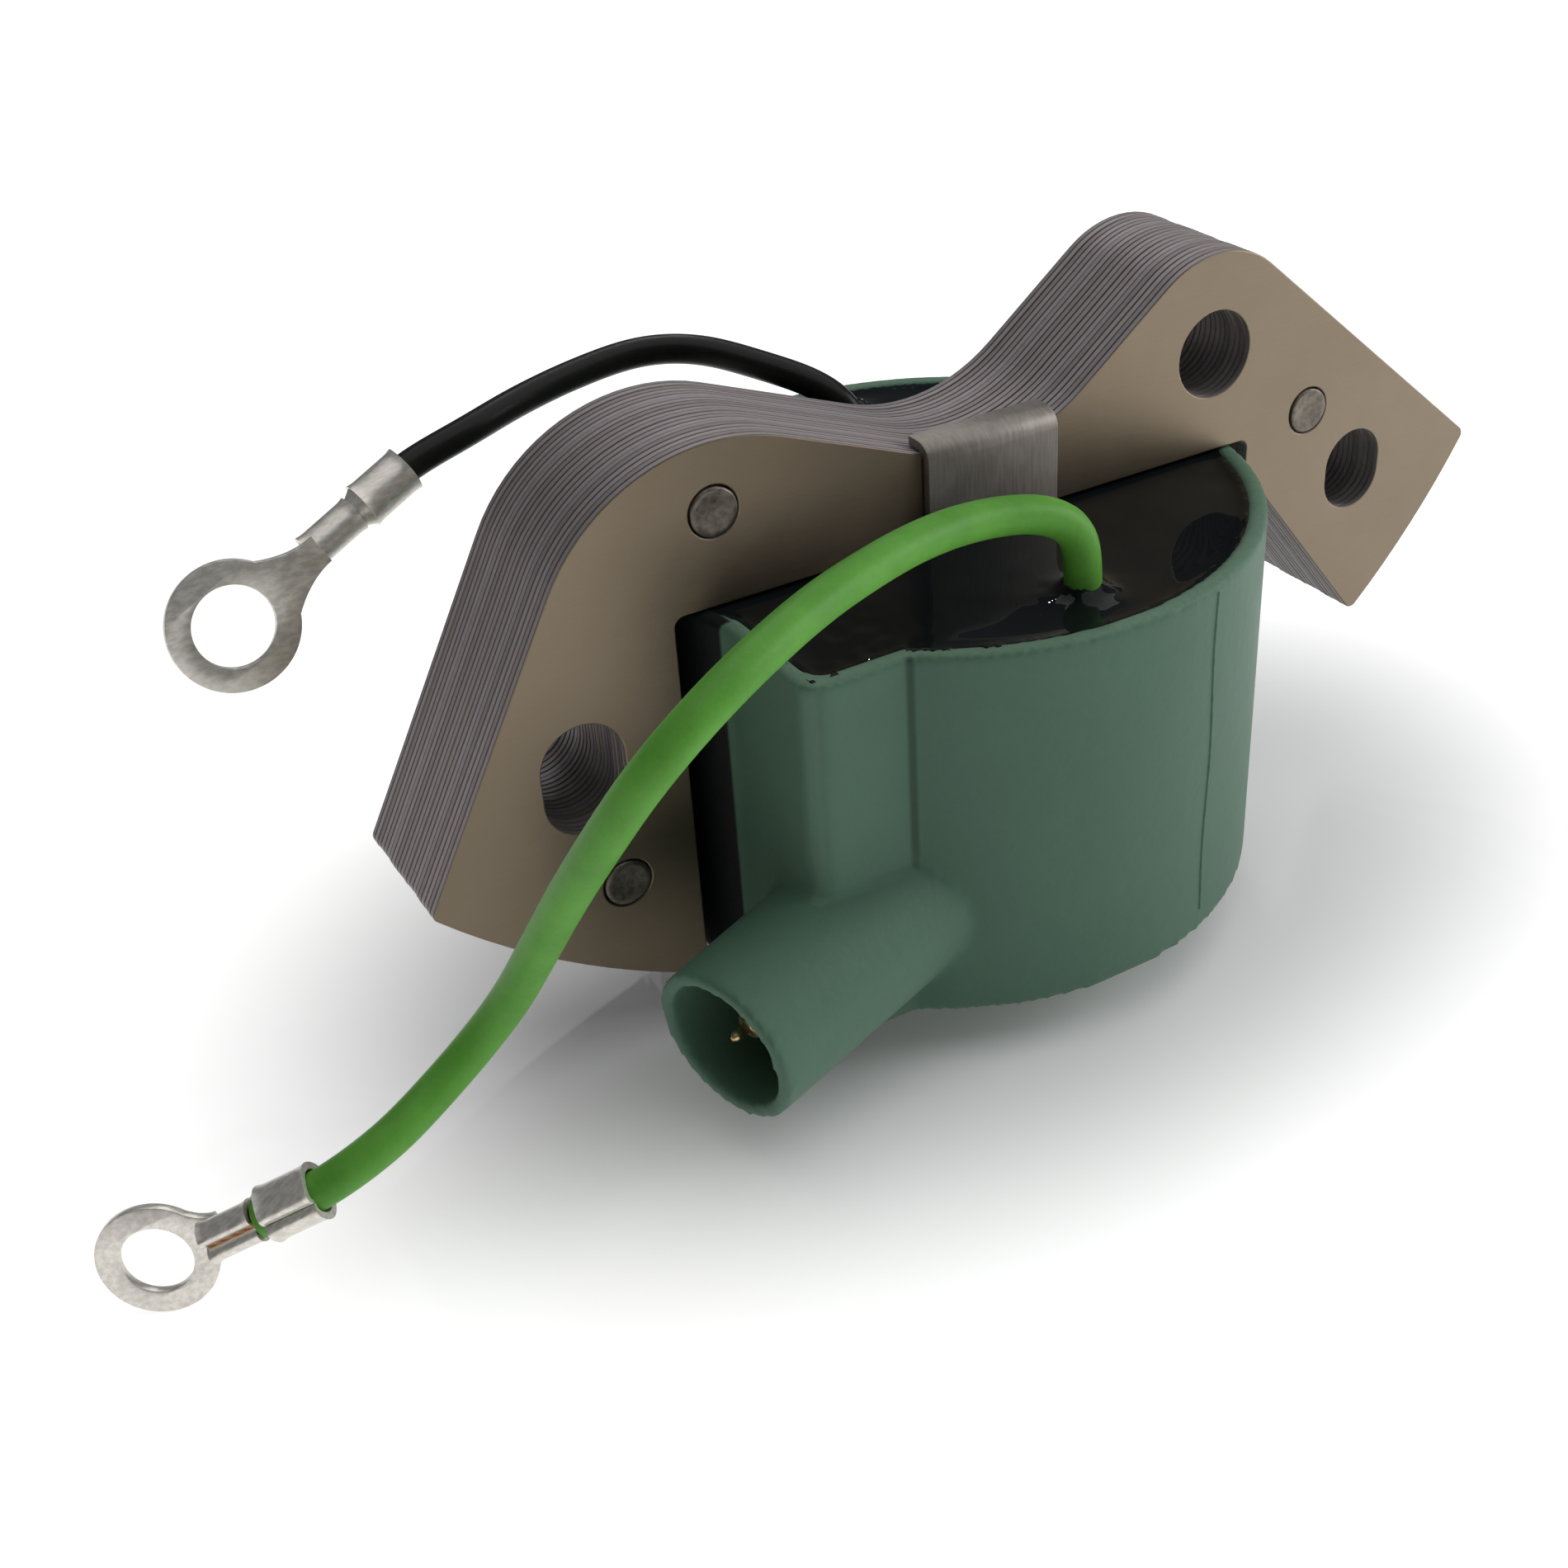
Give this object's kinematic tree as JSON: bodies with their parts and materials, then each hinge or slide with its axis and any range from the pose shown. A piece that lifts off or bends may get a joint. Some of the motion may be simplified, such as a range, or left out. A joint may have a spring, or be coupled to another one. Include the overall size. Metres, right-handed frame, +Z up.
{
  "type": "ignition coil",
  "caption": "Small-engine ignition coil: riveted laminated core, potted coil case with a high-tension tower, and two leads with ring terminals.",
  "frame": {"origin": "centre of the footprint of the core, case and tower (leads and their terminals left out), at the underside of the centre pole face", "axes": "+X along the core toward the leg with the oval hole, +Y to the rear, away from the face that the high-tension tower stands on, +Z up, away from the pole faces"},
  "size_m": [0.128, 0.0652, 0.0533],
  "materials": {
    "core_steel": "stamped, oiled",
    "rivet_steel": "flush headed",
    "case_plastic": "moulded, satin",
    "potting_resin": "cast, mirror gloss",
    "clip_steel": "satin strip",
    "bobbin_plastic": "moulded",
    "copper_wire": "enamelled or bare copper",
    "paper": "kraft paper",
    "tape": "polyester tape",
    "spike_brass": "turned",
    "green_insulation": "satin vinyl",
    "black_insulation": "satin vinyl",
    "splice_metal": "tinned and soldered",
    "terminal_metal": "tinned, slightly tarnished"
  },
  "bodies": {
    "root": {"lamination_01": "core_steel", "lamination_02": "core_steel", "lamination_03": "core_steel", "lamination_04": "core_steel", "lamination_05": "core_steel", "lamination_06": "core_steel", "lamination_07": "core_steel", "lamination_08": "core_steel", "lamination_09": "core_steel", "lamination_10": "core_steel", "lamination_11": "core_steel", "lamination_12": "core_steel", "lamination_13": "core_steel", "lamination_14": "core_steel", "lamination_15": "core_steel", "lamination_16": "core_steel", "lamination_17": "core_steel", "lamination_18": "core_steel", "lamination_19": "core_steel", "lamination_20": "core_steel", "lamination_21": "core_steel", "upper_left_rivet": "rivet_steel", "lower_left_rivet": "rivet_steel", "right_rivet": "rivet_steel", "coil_case": "case_plastic", "potting_compound": "potting_resin", "retaining_clip": "clip_steel", "primary_bobbin": "bobbin_plastic", "secondary_bobbin": "bobbin_plastic", "primary_winding": "copper_wire", "secondary_winding": "copper_wire", "high_tension_jumper": "copper_wire", "green_lead_strands": "copper_wire", "black_lead_strands": "copper_wire", "primary_start_tail": "copper_wire", "primary_finish_tail": "copper_wire", "insulating_paper": "paper", "winding_tape": "tape", "high_tension_spike": "spike_brass", "green_lead_insulation": "green_insulation", "black_lead_insulation": "black_insulation", "green_lead_splice": "splice_metal", "black_lead_splice": "splice_metal", "small_ring_terminal": "terminal_metal", "large_ring_terminal": "terminal_metal"}
  },
  "joints": []
}
